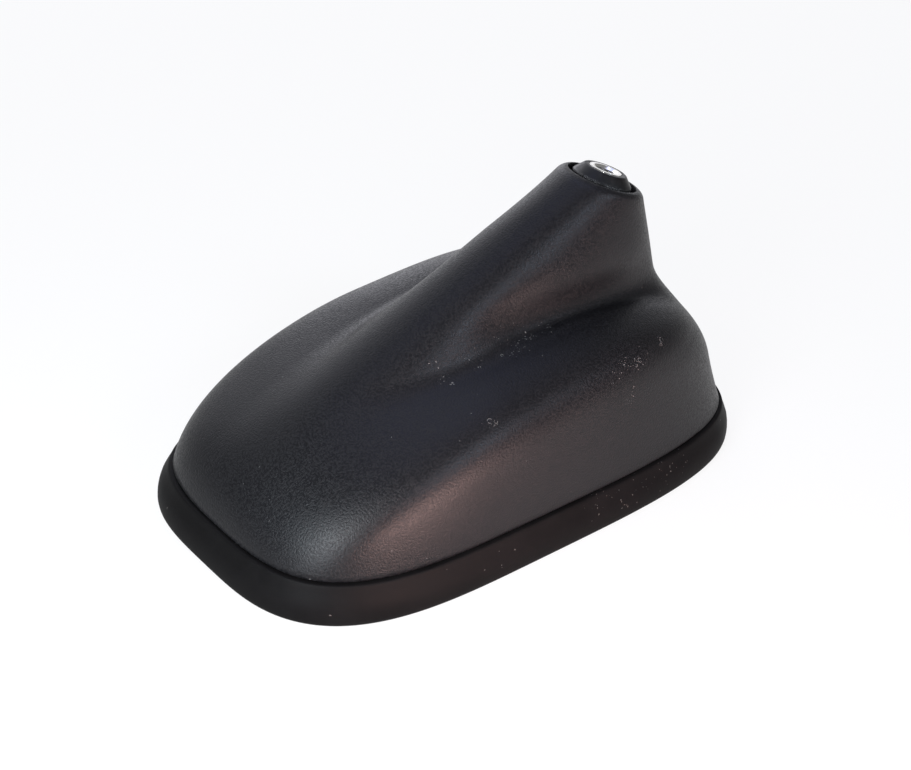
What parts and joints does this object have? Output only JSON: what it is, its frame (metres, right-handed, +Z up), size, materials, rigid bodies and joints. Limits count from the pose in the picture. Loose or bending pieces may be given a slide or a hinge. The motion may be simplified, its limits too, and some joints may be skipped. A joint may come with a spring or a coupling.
{
  "type": "roof antenna base",
  "caption": "Roof antenna base for a car: black moulded cover on a rubber gasket, with a leaning mast socket, a hollow fixing stud and the amplifier board inside. The mast is unscrewed.",
  "frame": {"origin": "on the axis of the roof stud, in the plane of the gasket's underside, which is the roof skin", "axes": "+X to the front of the vehicle, +Y to its left, +Z up out of the roof"},
  "size_m": [0.1278, 0.0706, 0.082],
  "materials": {
    "cover": "fine grained moulded black plastic",
    "gasket_rubber": "matt moulded rubber",
    "cast_metal": "die cast, plain",
    "tower_plastic": "matt moulded black plastic",
    "nickel": "turned and nickel plated",
    "seal_rubber": "smooth rubber",
    "zinc": "zinc plated",
    "board": "green solder mask",
    "brass": "plated brass",
    "tin": "tinned sheet steel",
    "chip": "moulded resin",
    "copper": "enamelled copper",
    "ceramic": "fired ceramic"
  },
  "bodies": {
    "root": {"cover": "cover", "roof_gasket": "gasket_rubber", "base_plate": "cast_metal", "mast_tower": "tower_plastic", "mast_socket": "nickel", "tower_seal": "seal_rubber", "cover_seal": "seal_rubber", "cover_screws": "zinc", "tower_screws": "zinc", "board_screws": "zinc", "circuit_board": "board", "coax_jack": "brass", "stud_grommet": "seal_rubber", "feed_strip": "brass", "feed_contact": "brass", "shield_can": "tin", "amplifier_chip": "chip", "filter_coils": "copper", "chip_capacitors": "ceramic", "chip_resistors": "chip"}
  },
  "joints": []
}
